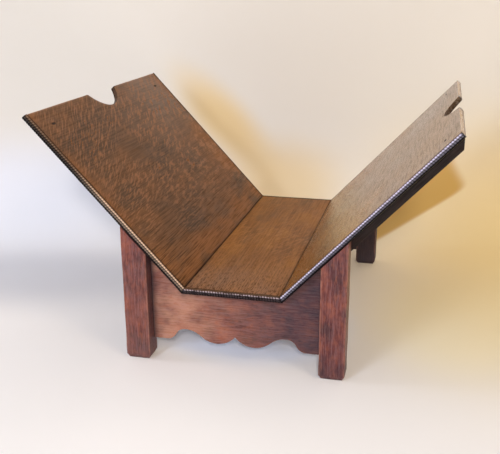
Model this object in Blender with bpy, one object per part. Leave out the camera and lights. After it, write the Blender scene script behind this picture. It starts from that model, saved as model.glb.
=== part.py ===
"""Low oak folio stand: a flat floor board between two boards that slope up to left and right.

The stand is built from two end frames, front and rear. Each has two square legs whose tops are
cut to the slope, and a thin apron between them with a shaped lower edge. Behind each frame a
bearer and two battens make a shallow cradle that the three boards are screwed to. A rounded
moulding covers the boards' end grain at the front and at the rear.

Frame: metres, +Z up, +X to the right, +Y to the rear. The origin is on the floor, at the middle.
"""
import math

import bmesh
import bpy
from mathutils import Matrix, Vector

# Boards
CENTRE_WIDTH = 0.150
SLOPE_LENGTH = 0.354
SLOPE_ANGLE = math.radians(47.0)
BOARD_THICKNESS = 0.009
BOARD_DEPTH = 0.5325
TROUGH_HEIGHT = 0.1285
END_EASE = 0.0012

# Finger notch in the top end of each sloping board
NOTCH_RADIUS = 0.0640
NOTCH_REACH = 0.0330
NOTCH_CORNER_RADIUS = 0.0060
NOTCH_STEPS = 14
NOTCH_CORNER_STEPS = 4

# Rope moulding on the boards' front and rear ends
MOULDING_FLAT = 0.0030
NICK_PITCH = 0.0042
NICK_DEPTH = 0.0010
NICK_MARGIN = 0.0030
NOSE_STEPS = 4

# Legs
LEG_WIDTH = 0.040
LEG_DEPTH = 0.032
LEG_SPREAD = 0.350
LEG_SETBACK = 0.0022
LEG_EASE = 0.0012
FOOT_CHAMFER_WIDE = 0.0036
FOOT_CHAMFER_TALL = 0.0070

# Aprons
APRON_THICKNESS = 0.0115
APRON_SETBACK = 0.0200
APRON_FOOT_HEIGHT = 0.0305
APRON_ARCH_HEIGHT = 0.0503
APRON_CUSP_HEIGHT = 0.0448
APRON_LOBE_OUT = 0.0300
APRON_ARCH_OUT = 0.0820
APRON_FLAT_OUT = 0.1130
CURVE_STEPS = 6

# Tenons that join the aprons to the legs
TENON_THICKNESS = 0.0060
TENON_LENGTH = 0.0220
TENON_HEIGHT = 0.0950
TENON_SHOULDER = 0.0200

# Battens under the slopes and bearers under the floor board
BATTEN_WIDTH = 0.0330
BATTEN_DEPTH = 0.0160
BATTEN_TOP_MARGIN = 0.0010
BATTEN_EASE = 0.0010

# Countersunk wood screws
SCREW_HEAD_RADIUS = 0.0036
SCREW_HEAD_HEIGHT = 0.0024
SCREW_SHANK_RADIUS = 0.0018
SCREW_TIP_LENGTH = 0.0030
SCREW_SIDES = 12
BOARD_SCREW_BITE = 0.0058
LEG_SCREW_BITE = 0.0170
BOARD_SCREW_SHARES = (0.17, 0.44, 0.71)
BEARER_SCREW_OUT = 0.0420

# Nails through the top of each slope into its battens
NAIL_HEAD_RADIUS = 0.0020
NAIL_HEAD_HEIGHT = 0.0012
NAIL_SHANK_RADIUS = 0.0009
NAIL_LENGTH = 0.0200
NAIL_SET = 0.0003
NAIL_FROM_END = 0.0290
NAIL_SIDES = 10

# Clearances
GAP = 0.0003
OVERRUN = 0.0050

# Worked-out places
MOULDING_WIDTH = MOULDING_FLAT + BOARD_THICKNESS / 2
STAND_HALF_DEPTH = BOARD_DEPTH / 2 + GAP + MOULDING_WIDTH
LEG_FRONT = STAND_HALF_DEPTH - LEG_SETBACK
LEG_REAR = LEG_FRONT - LEG_DEPTH
APRON_FRONT = LEG_FRONT - APRON_SETBACK
BATTEN_FRONT = min(LEG_REAR, APRON_FRONT - APRON_THICKNESS) - GAP
BATTEN_MIDDLE = BATTEN_FRONT - BATTEN_WIDTH / 2
LEG_OUTER = LEG_SPREAD / 2
LEG_INNER = LEG_OUTER - LEG_WIDTH
SLOPE_RISE = math.tan(SLOPE_ANGLE)
MITRE_SLANT = math.tan(SLOPE_ANGLE / 2)
CRADLE_TOP = BOARD_THICKNESS + GAP
CRADLE_BOTTOM = CRADLE_TOP + BATTEN_DEPTH
MITRE_GAP = GAP / 2 / math.cos(SLOPE_ANGLE / 2)
TENON_LOW = APRON_FOOT_HEIGHT + TENON_SHOULDER
TENON_HIGH = TENON_LOW + TENON_HEIGHT

SIDES = {"left": -1, "right": 1}
ENDS = {"front": -1, "rear": 1}

OAK_TOP = (0.115, 0.055, 0.022)
OAK_FRAME = (0.085, 0.026, 0.014)
OAK_HIDDEN = (0.060, 0.024, 0.013)
MOULDING_BROWN = (0.030, 0.012, 0.007)
OLD_STEEL = (0.055, 0.048, 0.042)


def clear_scene():
    for thing in list(bpy.data.objects):
        bpy.data.objects.remove(thing, do_unlink=True)


def make_material(name, colour, roughness, metallic=0.0):
    material = bpy.data.materials.new(name)
    material.use_nodes = True
    shader = material.node_tree.nodes["Principled BSDF"]
    shader.inputs["Base Color"].default_value = (*colour, 1.0)
    shader.inputs["Roughness"].default_value = roughness
    shader.inputs["Metallic"].default_value = metallic
    return material


def make_object(name, work, material, parent=None, place=None):
    """Turn a bmesh into a closed, outward-facing object of its own."""
    bmesh.ops.recalc_face_normals(work, faces=work.faces)
    mesh = bpy.data.meshes.new(name)
    work.to_mesh(mesh)
    work.free()
    thing = bpy.data.objects.new(name, mesh)
    bpy.context.scene.collection.objects.link(thing)
    if material:
        mesh.materials.append(material)
    if parent:
        thing.parent = parent
    if place:
        thing.location = place
    return thing


def make_slope_empty(side_name):
    """An empty on the seam, with its own +X up the slope and +Z square to the board."""
    side = SIDES[side_name]
    empty = bpy.data.objects.new(f"{side_name}_slope", None)
    bpy.context.scene.collection.objects.link(empty)
    empty.location = (side * CENTRE_WIDTH / 2, 0, TROUGH_HEIGHT)
    empty.rotation_euler = (0, -SLOPE_ANGLE, 0 if side > 0 else math.pi)
    return empty


def make_cutter(name, work):
    cutter = make_object(name, work, None)
    cutter.hide_render = True
    cutter.display_type = "WIRE"
    return cutter


def add_boolean(thing, cutter, operation="DIFFERENCE"):
    cut = thing.modifiers.new(f"{operation.lower()} {cutter.name}", "BOOLEAN")
    cut.operation = operation
    cut.solver = "EXACT"
    cut.object = cutter


def add_face_loop(work, points):
    return work.faces.new([work.verts.new(point) for point in points])


def extrude_face(work, face, travel):
    """Push a face along a vector and close the walls, keeping the first face as the far end."""
    made = bmesh.ops.extrude_face_region(work, geom=[face])
    moved = [item for item in made["geom"] if isinstance(item, bmesh.types.BMVert)]
    bmesh.ops.translate(work, verts=moved, vec=travel)
    return moved


def make_box(low, high):
    work = bmesh.new()
    size = Vector(high) - Vector(low)
    centre = (Vector(high) + Vector(low)) / 2
    place = Matrix.Translation(centre) @ Matrix.Diagonal((*size, 1.0))
    bmesh.ops.create_cube(work, size=1.0, matrix=place)
    return work


def arc_points(centre, radius, start, end, steps):
    """Points along an arc from one angle to another, both ends included."""
    points = []
    for step in range(steps + 1):
        angle = start + (end - start) * step / steps
        points.append((centre[0] + radius * math.cos(angle), centre[1] + radius * math.sin(angle)))
    return points


def notch_outline():
    """The notch from front to rear in the slope's own plane, as (along, across) points.

    A large arc bites into the end, and a small arc eases each corner where the two meet.
    """
    centre = SLOPE_LENGTH - NOTCH_REACH + NOTCH_RADIUS
    corner_along = SLOPE_LENGTH - NOTCH_CORNER_RADIUS
    reach = NOTCH_RADIUS + NOTCH_CORNER_RADIUS
    corner_across = math.sqrt(reach ** 2 - (centre - corner_along) ** 2)
    lean = math.atan2(corner_across, centre - corner_along)
    front_corner = arc_points((corner_along, -corner_across), NOTCH_CORNER_RADIUS,
                              0, lean, NOTCH_CORNER_STEPS)
    bite = arc_points((centre, 0), NOTCH_RADIUS, math.pi + lean, math.pi - lean, NOTCH_STEPS)
    rear_corner = arc_points((corner_along, corner_across), NOTCH_CORNER_RADIUS,
                             -lean, 0, NOTCH_CORNER_STEPS)
    return front_corner + bite[1:-1] + rear_corner


def ease_edges(work, edges, width, segments):
    bmesh.ops.bevel(work, geom=edges, offset=width, offset_type="OFFSET", segments=segments,
                    profile=0.5, affect="EDGES", clamp_overlap=True)


def make_sloping_board(side_name, slope, material):
    """A board with its seam edge mitred and its top end notched and eased."""
    half = BOARD_DEPTH / 2
    outline = [(MITRE_GAP, half), (MITRE_GAP, -half), (SLOPE_LENGTH, -half)]
    outline += notch_outline()
    outline += [(SLOPE_LENGTH, half)]
    work = bmesh.new()
    top = add_face_loop(work, [(along, across, 0) for along, across in outline])
    lower = extrude_face(work, top, (0, 0, -BOARD_THICKNESS))
    seam_reach = BOARD_THICKNESS * MITRE_SLANT
    for vert in lower:
        if vert.co.x < SLOPE_LENGTH / 2:
            vert.co.x -= seam_reach
    end_rim = [edge for edge in work.edges
               if min(vert.co.x for vert in edge.verts) > SLOPE_LENGTH / 2
               and abs(edge.verts[0].co.z - edge.verts[1].co.z) < GAP]
    ease_edges(work, end_rim, END_EASE, 2)
    return make_object(f"{side_name}_board", work, material, slope)


def make_centre_board(material):
    """The flat floor board, wider below than above because both its edges are mitred."""
    half = BOARD_DEPTH / 2
    top_half = CENTRE_WIDTH / 2 - MITRE_GAP
    low_half = top_half + BOARD_THICKNESS * MITRE_SLANT
    section = [(-top_half, 0), (top_half, 0), (low_half, -BOARD_THICKNESS), (-low_half, -BOARD_THICKNESS)]
    work = bmesh.new()
    face = add_face_loop(work, [(x, -half, z) for x, z in section])
    extrude_face(work, face, (0, BOARD_DEPTH, 0))
    return make_object("centre_board", work, material, place=(0, 0, TROUGH_HEIGHT))


def nose_ring(work, along_at, depth, back, end):
    """One ring of points round the nose, from the top edge to the lower edge.

    along_at gives each point's place along the moulding from its share of the way round and its
    height. depth draws the crown in, most at the front and not at all at the two edges.
    """
    radius = BOARD_THICKNESS / 2
    ring = []
    for step in range(NOSE_STEPS + 1):
        share = step / NOSE_STEPS
        angle = math.pi * share
        reach = radius - depth * math.sin(angle)
        out = MOULDING_FLAT + reach * math.sin(angle)
        height = reach * math.cos(angle) - radius
        ring.append(work.verts.new((along_at(share, height), back + end * out, height)))
    return ring


def make_moulding(name, end, start, finish, start_slant, finish_slant, material, parent, place):
    """A length of rope moulding along local X, its two ends slanted to follow the mitres.

    Ridges and nicks take turns along the nose, and each leans over by one pitch from the top
    edge to the lower edge, so that the nose reads as a twisted cord.
    """
    back = end * (BOARD_DEPTH / 2 + GAP)
    carved = finish - start - 2 * NICK_MARGIN
    nicks = int(carved / NICK_PITCH)
    pitch = carved / nicks
    work = bmesh.new()
    rings = [nose_ring(work, lambda share, height: start - start_slant * height, 0, back, end)]
    for half_turn in range(2 * nicks + 1):
        along = start + NICK_MARGIN + half_turn * pitch / 2
        depth = NICK_DEPTH if half_turn % 2 else 0
        rings.append(nose_ring(work, lambda share, height: along + pitch * (share - 1 / 2),
                               depth, back, end))
    rings.append(nose_ring(work, lambda share, height: finish - finish_slant * height, 0, back, end))
    for first, second in zip(rings, rings[1:]):
        for step in range(NOSE_STEPS):
            work.faces.new((first[step], first[step + 1], second[step + 1], second[step]))
    tops = [work.verts.new((reach, back, 0)) for reach in (start, finish)]
    lows = [work.verts.new((reach + slant * BOARD_THICKNESS, back, -BOARD_THICKNESS))
            for reach, slant in ((start, start_slant), (finish, finish_slant))]
    work.faces.new([tops[0], *(ring[0] for ring in rings), tops[1]])
    work.faces.new([lows[0], *(ring[-1] for ring in rings), lows[1]])
    work.faces.new((tops[0], tops[1], lows[1], lows[0]))
    for top, low, ring in ((tops[0], lows[0], rings[0]), (tops[1], lows[1], rings[-1])):
        work.faces.new([top, *ring, low])
    return make_object(name, work, material, parent, place)


def make_mouldings(slopes, material):
    for end_name, end in ENDS.items():
        half = CENTRE_WIDTH / 2 - MITRE_GAP
        make_moulding(f"{end_name}_centre_moulding", end, -half, half, -MITRE_SLANT, MITRE_SLANT,
                      material, None, (0, 0, TROUGH_HEIGHT))
        for side_name, slope in slopes.items():
            make_moulding(f"{end_name}_{side_name}_moulding", end * SIDES[side_name], MITRE_GAP,
                          SLOPE_LENGTH, -MITRE_SLANT, 0, material, slope, (0, 0, 0))


def slope_underside(out):
    """Height of a slope's underside above the floor, at a distance from the middle."""
    rise = (out - CENTRE_WIDTH / 2) * SLOPE_RISE
    return TROUGH_HEIGHT + rise - (BOARD_THICKNESS + GAP) / math.cos(SLOPE_ANGLE)


def make_leg(end_name, side_name, material):
    """A square leg with its top cut to the slope, eased corners and a chamfered foot."""
    side = SIDES[side_name]
    end = ENDS[end_name]
    front = end * LEG_FRONT
    work = bmesh.new()
    outline = [(LEG_INNER, 0), (LEG_OUTER, 0), (LEG_OUTER, slope_underside(LEG_OUTER)),
               (LEG_INNER, slope_underside(LEG_INNER))]
    face = add_face_loop(work, [(side * out, front, height) for out, height in outline])
    extrude_face(work, face, (0, -end * LEG_DEPTH, 0))
    uprights = [edge for edge in work.edges
                if abs(edge.verts[0].co.x - edge.verts[1].co.x) < GAP
                and abs(edge.verts[0].co.y - edge.verts[1].co.y) < GAP]
    ease_edges(work, uprights, LEG_EASE, 2)
    chamfer_foot(work)
    leg = make_object(f"{end_name}_{side_name}_leg", work, material)
    mortise = make_box((side * LEG_INNER - side * OVERRUN, end * (APRON_FRONT - tenon_inset()) + end * GAP,
                        TENON_LOW - GAP),
                       (side * (LEG_INNER + TENON_LENGTH + GAP),
                        end * (APRON_FRONT - tenon_inset() - TENON_THICKNESS) - end * GAP,
                        TENON_HIGH + GAP))
    add_boolean(leg, make_cutter(f"{end_name}_{side_name}_mortise", mortise))
    return leg


def chamfer_foot(work):
    """Draw the sole in and lift its rim, so the foot has a steep worn chamfer."""
    sole = min(work.faces, key=lambda face: face.calc_center_median().z)
    made = bmesh.ops.inset_individual(work, faces=[sole], thickness=FOOT_CHAMFER_WIDE)
    rim = {vert for face in made["faces"] for vert in face.verts} - set(sole.verts)
    for vert in rim:
        vert.co.z += FOOT_CHAMFER_TALL


def tenon_inset():
    return (APRON_THICKNESS - TENON_THICKNESS) / 2


def ogee_points(start, end, steps):
    """Two equal arcs that leave one level point and arrive level at the other."""
    across = end[0] - start[0]
    rise = end[1] - start[1]
    radius = (across ** 2 + rise ** 2) / (4 * abs(rise))
    turn = 2 * math.atan2(abs(rise), abs(across))
    points = []
    for step in range(steps + 1):
        angle = turn * step / steps
        points.append((start[0] + math.copysign(radius * math.sin(angle), across),
                       start[1] + math.copysign(radius * (1 - math.cos(angle)), rise)))
    mirrored = [(start[0] + end[0] - x, start[1] + end[1] - z) for x, z in points]
    return points + mirrored[-2::-1]


def lobe_points(steps):
    """The arc from the level bottom of a lobe up to the sharp cusp in the middle."""
    rise = APRON_CUSP_HEIGHT - APRON_FOOT_HEIGHT
    radius = (APRON_LOBE_OUT ** 2 + rise ** 2) / (2 * rise)
    turn = math.asin(APRON_LOBE_OUT / radius)
    points = []
    for step in range(steps + 1):
        angle = turn * step / steps
        points.append((APRON_LOBE_OUT - radius * math.sin(angle),
                       APRON_FOOT_HEIGHT + radius * (1 - math.cos(angle))))
    return points


def apron_lower_half():
    """The lower edge from the leg inwards: flat, ogee up to the arch, ogee down to the lobe, cusp."""
    rise_to_arch = ogee_points((APRON_FLAT_OUT, APRON_FOOT_HEIGHT), (APRON_ARCH_OUT, APRON_ARCH_HEIGHT),
                               CURVE_STEPS // 2)
    fall_to_lobe = ogee_points((APRON_ARCH_OUT, APRON_ARCH_HEIGHT), (APRON_LOBE_OUT, APRON_FOOT_HEIGHT),
                               CURVE_STEPS)
    return rise_to_arch + fall_to_lobe[1:] + lobe_points(CURVE_STEPS)[1:]


def apron_outline():
    """Whole outline: the trough's V above, the shaped edge below, both ends at the legs."""
    end_out = LEG_INNER - GAP
    floor_out = CENTRE_WIDTH / 2 + CRADLE_TOP * MITRE_SLANT
    half = [(end_out, slope_underside(end_out)), (end_out, APRON_FOOT_HEIGHT)] + apron_lower_half()
    right = [(floor_out, TROUGH_HEIGHT - CRADLE_TOP)] + half
    left = [(-x, z) for x, z in reversed(right[:-1])]
    return right + left


def make_apron(end_name, material):
    """A thin shaped board between the legs, with a stub tenon at each end."""
    end = ENDS[end_name]
    front = end * APRON_FRONT
    work = bmesh.new()
    face = add_face_loop(work, [(x, front, z) for x, z in apron_outline()])
    extrude_face(work, face, (0, -end * APRON_THICKNESS, 0))
    apron = make_object(f"{end_name}_apron", work, material)
    for side_name, side in SIDES.items():
        tenon_front = end * (APRON_FRONT - tenon_inset())
        tenon = make_box((side * (LEG_INNER - OVERRUN), tenon_front, TENON_LOW),
                         (side * (LEG_INNER + TENON_LENGTH), tenon_front - end * TENON_THICKNESS,
                          TENON_HIGH))
        add_boolean(apron, make_cutter(f"{end_name}_{side_name}_tenon", tenon), "UNION")
    return apron


def make_batten(end_name, side_name, slope, material):
    """A batten along the slope's underside, mitred at the seam and cut plumb at the top end."""
    top_end = SLOPE_LENGTH - BATTEN_TOP_MARGIN
    seam_top = MITRE_GAP - CRADLE_TOP * MITRE_SLANT
    seam_low = MITRE_GAP - CRADLE_BOTTOM * MITRE_SLANT
    section = [(seam_top, -CRADLE_TOP), (top_end, -CRADLE_TOP),
               (top_end - BATTEN_DEPTH * SLOPE_RISE, -CRADLE_BOTTOM), (seam_low, -CRADLE_BOTTOM)]
    work = bmesh.new()
    face = add_face_loop(work, [(x, -BATTEN_WIDTH / 2, z) for x, z in section])
    extrude_face(work, face, (0, BATTEN_WIDTH, 0))
    low_edges = [edge for edge in work.edges
                 if all(abs(vert.co.z + CRADLE_BOTTOM) < GAP for vert in edge.verts)
                 and abs(edge.verts[0].co.x - edge.verts[1].co.x) > GAP]
    ease_edges(work, low_edges, BATTEN_EASE, 1)
    across = ENDS[end_name] * SIDES[side_name] * BATTEN_MIDDLE
    return make_object(f"{end_name}_{side_name}_batten", work, material, slope, (0, across, 0))


def make_bearer(end_name, material):
    """The cross piece under the floor board, mitred to the two battens."""
    top_half = CENTRE_WIDTH / 2 - MITRE_GAP + CRADLE_TOP * MITRE_SLANT
    low_half = CENTRE_WIDTH / 2 - MITRE_GAP + CRADLE_BOTTOM * MITRE_SLANT
    section = [(-top_half, -CRADLE_TOP), (top_half, -CRADLE_TOP), (low_half, -CRADLE_BOTTOM),
               (-low_half, -CRADLE_BOTTOM)]
    work = bmesh.new()
    face = add_face_loop(work, [(x, -BATTEN_WIDTH / 2, z) for x, z in section])
    extrude_face(work, face, (0, BATTEN_WIDTH, 0))
    low_edges = [edge for edge in work.edges
                 if all(abs(vert.co.z + CRADLE_BOTTOM) < GAP for vert in edge.verts)
                 and abs(edge.verts[0].co.x - edge.verts[1].co.x) > GAP]
    ease_edges(work, low_edges, BATTEN_EASE, 1)
    place = (0, ENDS[end_name] * BATTEN_MIDDLE, TROUGH_HEIGHT)
    return make_object(f"{end_name}_bearer", work, material, place=place)


def add_turned(work, profile, sides, place):
    """Turn a profile of (radius, height) points about local Z and put the solid in its place."""
    rings = []
    for radius, height in profile:
        if radius == 0:
            rings.append([work.verts.new(place @ Vector((0, 0, height)))])
            continue
        ring = []
        for index in range(sides):
            angle = 2 * math.pi * index / sides
            ring.append(work.verts.new(place @ Vector((radius * math.cos(angle),
                                                       radius * math.sin(angle), height))))
        rings.append(ring)
    for upper, lower in zip(rings, rings[1:]):
        for index in range(sides):
            following = (index + 1) % sides
            corners = [upper[index % len(upper)], upper[following % len(upper)],
                       lower[following % len(lower)], lower[index % len(lower)]]
            work.faces.new(list(dict.fromkeys(corners)))
    if len(rings[0]) > 1:
        work.faces.new(rings[0])


def screw_profile(length, spare):
    """A countersunk screw from its head at zero down to its point, swollen by a clearance."""
    head = SCREW_HEAD_RADIUS + spare
    shank = SCREW_SHANK_RADIUS + spare
    profile = [(head, OVERRUN)] if spare else []
    return profile + [(head, 0), (shank, -SCREW_HEAD_HEIGHT - spare / 2),
                      (shank, -length + SCREW_TIP_LENGTH), (0, -length - spare)]


def board_screw_profile(spare):
    return screw_profile(BATTEN_DEPTH + GAP + BOARD_SCREW_BITE, spare)


def leg_screw_profile(spare):
    return screw_profile(BATTEN_WIDTH + GAP + LEG_SCREW_BITE, spare)


def nail_profile(spare):
    """A small headed nail, its head set just under the surface."""
    head = NAIL_HEAD_RADIUS + spare
    shank = NAIL_SHANK_RADIUS + spare
    profile = [(head, OVERRUN)] if spare else []
    return profile + [(head, 0), (head, -NAIL_HEAD_HEIGHT - spare),
                      (shank, -NAIL_HEAD_HEIGHT - spare), (shank, -NAIL_LENGTH - spare),
                      (0, -NAIL_LENGTH - spare)]


def slope_matrix(side):
    """The slope's own frame, as its empty holds it."""
    place = Matrix.Translation((side * CENTRE_WIDTH / 2, 0, TROUGH_HEIGHT))
    turn = Matrix.Rotation(0 if side > 0 else math.pi, 4, "Z") @ Matrix.Rotation(-SLOPE_ANGLE, 4, "Y")
    return place @ turn


def slope_screw_places():
    """Screws up through each batten into its board, their heads on the batten's underside."""
    turned_over = Matrix.Rotation(math.pi, 4, "X")
    places = {}
    for end_name, end in ENDS.items():
        for side_name, side in SIDES.items():
            for number, share in enumerate(BOARD_SCREW_SHARES, 1):
                spot = Matrix.Translation((share * SLOPE_LENGTH, side * end * BATTEN_MIDDLE,
                                           -CRADLE_BOTTOM))
                name = f"{end_name}_{side_name}_slope_screw_{number}"
                places[name] = slope_matrix(side) @ spot @ turned_over
    return places


def bearer_screw_places():
    """Screws up through each bearer into the floor board."""
    turned_over = Matrix.Rotation(math.pi, 4, "X")
    places = {}
    for end_name, end in ENDS.items():
        for side_name, side in SIDES.items():
            spot = Matrix.Translation((side * BEARER_SCREW_OUT, end * BATTEN_MIDDLE,
                                       TROUGH_HEIGHT - CRADLE_BOTTOM))
            places[f"{end_name}_{side_name}_bearer_screw"] = spot @ turned_over
    return places


def leg_screw_places():
    """Level screws through each batten into the back of its leg, at the leg's middle."""
    leg_middle = LEG_INNER + LEG_WIDTH / 2
    batten_height = slope_underside(leg_middle) - BATTEN_DEPTH / 2 / math.cos(SLOPE_ANGLE)
    places = {}
    for end_name, end in ENDS.items():
        for side_name, side in SIDES.items():
            spot = Matrix.Translation((side * leg_middle, end * (BATTEN_FRONT - BATTEN_WIDTH),
                                       batten_height))
            places[f"{end_name}_{side_name}_leg_screw"] = spot @ Matrix.Rotation(end * math.pi / 2, 4, "X")
    return places


def nail_places():
    """Nails down through each board into the top of its battens."""
    places = {}
    for end_name, end in ENDS.items():
        for side_name, side in SIDES.items():
            spot = Matrix.Translation((SLOPE_LENGTH - NAIL_FROM_END, side * end * BATTEN_MIDDLE,
                                       -NAIL_SET))
            places[f"{end_name}_{side_name}_nail"] = slope_matrix(side) @ spot
    return places


def make_fasteners(kind, profile_of, sides, places, material):
    """Every fastener of one kind, sharing one mesh, and one cutter for all their holes."""
    work = bmesh.new()
    add_turned(work, profile_of(0.0), sides, Matrix.Identity(4))
    bmesh.ops.recalc_face_normals(work, faces=work.faces)
    mesh = bpy.data.meshes.new(kind)
    work.to_mesh(mesh)
    work.free()
    mesh.materials.append(material)
    mesh.shade_smooth()
    mesh.set_sharp_from_angle(angle=math.radians(30))
    holes = bmesh.new()
    for name, place in places.items():
        thing = bpy.data.objects.new(name, mesh)
        bpy.context.scene.collection.objects.link(thing)
        thing.matrix_world = place
        add_turned(holes, profile_of(GAP), sides, place)
    return make_cutter(f"{kind}_holes", holes)


def build():
    clear_scene()
    top_oak = make_material("top_oak", OAK_TOP, 0.42)
    frame_oak = make_material("frame_oak", OAK_FRAME, 0.45)
    hidden_oak = make_material("hidden_oak", OAK_HIDDEN, 0.60)
    moulding_oak = make_material("moulding_oak", MOULDING_BROWN, 0.30)
    steel = make_material("old_steel", OLD_STEEL, 0.55, 0.8)

    slopes = {side_name: make_slope_empty(side_name) for side_name in SIDES}
    boards = {side_name: make_sloping_board(side_name, slope, top_oak)
              for side_name, slope in slopes.items()}
    centre_board = make_centre_board(top_oak)
    make_mouldings(slopes, moulding_oak)

    slope_holes = make_fasteners("slope_screw", board_screw_profile, SCREW_SIDES,
                                 slope_screw_places(), steel)
    bearer_holes = make_fasteners("bearer_screw", board_screw_profile, SCREW_SIDES,
                                  bearer_screw_places(), steel)
    leg_holes = make_fasteners("leg_screw", leg_screw_profile, SCREW_SIDES, leg_screw_places(), steel)
    nail_holes = make_fasteners("nail", nail_profile, NAIL_SIDES, nail_places(), steel)

    for board in boards.values():
        add_boolean(board, slope_holes)
        add_boolean(board, nail_holes)
    add_boolean(centre_board, bearer_holes)

    for end_name in ENDS:
        make_apron(end_name, frame_oak)
        add_boolean(make_bearer(end_name, hidden_oak), bearer_holes)
        for side_name, slope in slopes.items():
            add_boolean(make_leg(end_name, side_name, frame_oak), leg_holes)
            batten = make_batten(end_name, side_name, slope, hidden_oak)
            for holes in (slope_holes, leg_holes, nail_holes):
                add_boolean(batten, holes)


build()
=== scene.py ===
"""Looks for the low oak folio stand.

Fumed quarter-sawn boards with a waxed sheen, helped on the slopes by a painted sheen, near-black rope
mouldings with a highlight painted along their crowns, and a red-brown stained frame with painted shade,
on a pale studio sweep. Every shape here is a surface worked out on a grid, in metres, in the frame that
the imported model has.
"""
import math
from functools import partial

import bpy
import numpy as np
from mathutils import Matrix, Vector


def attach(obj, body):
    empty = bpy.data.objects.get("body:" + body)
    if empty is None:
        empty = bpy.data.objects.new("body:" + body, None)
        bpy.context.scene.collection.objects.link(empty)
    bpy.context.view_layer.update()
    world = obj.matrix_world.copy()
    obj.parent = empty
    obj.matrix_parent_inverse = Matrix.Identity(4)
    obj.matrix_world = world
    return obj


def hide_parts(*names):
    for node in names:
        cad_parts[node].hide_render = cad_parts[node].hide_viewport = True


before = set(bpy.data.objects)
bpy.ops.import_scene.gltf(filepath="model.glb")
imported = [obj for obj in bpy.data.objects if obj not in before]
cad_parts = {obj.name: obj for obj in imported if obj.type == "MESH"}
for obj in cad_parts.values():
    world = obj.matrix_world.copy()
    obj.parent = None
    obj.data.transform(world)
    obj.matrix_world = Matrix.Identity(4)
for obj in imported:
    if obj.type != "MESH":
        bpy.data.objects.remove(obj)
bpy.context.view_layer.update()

# The stand's own sizes, in metres
CENTRE_WIDTH = 0.15
SLOPE_LENGTH = 0.354
SLOPE_ANGLE = math.radians(47)
BOARD_THICKNESS = 0.009
BOARD_DEPTH = 0.5325
TROUGH_HEIGHT = 0.1285
GAP = 0.0003
MITRE_SLANT = math.tan(SLOPE_ANGLE / 2)
MITRE_GAP = GAP / 2 / math.cos(SLOPE_ANGLE / 2)

NOTCH_RADIUS = 0.064
NOTCH_REACH = 0.033
NOTCH_CORNER_RADIUS = 0.006

MOULDING_FLAT = 0.003
MOULDING_EASE = 0.0005
# A moulding's back and flat, from its lower edge up to where the nose starts: how far out, how high,
# and how much of the nicks' lean lies above
BACK_OUT = (MOULDING_EASE, 0, 0, MOULDING_EASE, MOULDING_FLAT / 2)
BACK_HEIGHT = (-BOARD_THICKNESS, MOULDING_EASE - BOARD_THICKNESS, -MOULDING_EASE, 0, 0)
BACK_LEAN = (1, 1, 0, 0, 0)
NICK_PITCH = 0.0042
NICK_DEPTH = 0.001
NICK_MARGIN = 0.003

LEG_WIDTH = 0.04
LEG_DEPTH = 0.032
LEG_OUTER = 0.175
LEG_INNER = LEG_OUTER - LEG_WIDTH
LEG_MIDDLE = LEG_OUTER - LEG_WIDTH / 2
LEG_FRONT = BOARD_DEPTH / 2 + GAP + MOULDING_FLAT + BOARD_THICKNESS / 2 - 0.0022
LEG_TOP_GAP = 0.0008
FOOT_CHAMFER_WIDE = 0.0036
FOOT_CHAMFER_TALL = 0.007

APRON_THICKNESS = 0.0115
APRON_FRONT = LEG_FRONT - 0.02
APRON_FOOT_HEIGHT = 0.0305
APRON_ARCH_HEIGHT = 0.0503
APRON_CUSP_HEIGHT = 0.0448
APRON_LOBE_OUT = 0.03
APRON_ARCH_OUT = 0.082
APRON_FLAT_OUT = 0.113

BATTEN_WIDTH = 0.033
BATTEN_DEPTH = 0.016
BATTEN_FRONT = LEG_FRONT - LEG_DEPTH - GAP
BATTEN_MIDDLE = BATTEN_FRONT - BATTEN_WIDTH / 2
CRADLE_TOP = BOARD_THICKNESS + GAP
CRADLE_BOTTOM = CRADLE_TOP + BATTEN_DEPTH

SCREW_HEAD_RADIUS = 0.0036
SCREW_HEAD_HEIGHT = 0.0024
SCREW_HEAD_ROUND = 0.0004
SCREW_RIM_HEIGHT = 0.001
SCREW_NECK_HEIGHT = 0.0004
SCREW_SHANK_RADIUS = 0.0018
SCREW_TIP_LENGTH = 0.003
SCREW_TIP_RADIUS = 0.0003
SLOT_SHARE = 0.125
SLOT_DEPTH = 0.0009
BOARD_SCREW_LENGTH = BATTEN_DEPTH + GAP + 0.0058
LEG_SCREW_LENGTH = BATTEN_WIDTH + GAP + 0.017
BOARD_SCREW_SHARES = (0.17, 0.44, 0.71)
BEARER_SCREW_OUT = 0.042
NAIL_PROUD = 0.0001
NAIL_FROM_END = 0.029
NAIL_HEAD_HEIGHT = -0.0012
# The nail's radius and height, from the middle of its head down to its point
NAIL_PROFILE = [(.00001, .0001), (.001, .00002), (.0017, -.0002), (.002, -.0005),
                (.0019, NAIL_HEAD_HEIGHT), (.0009, NAIL_HEAD_HEIGHT), (.0009, -.0185), (.0002, -.02)]

SIDES = {"left": -1, "right": 1}
ENDS = {"front": -1, "rear": 1}
SEEDS = {"slope": 11, "centre": 31, "apron": 51, "leg": 71, "fasteners": 5}

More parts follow.
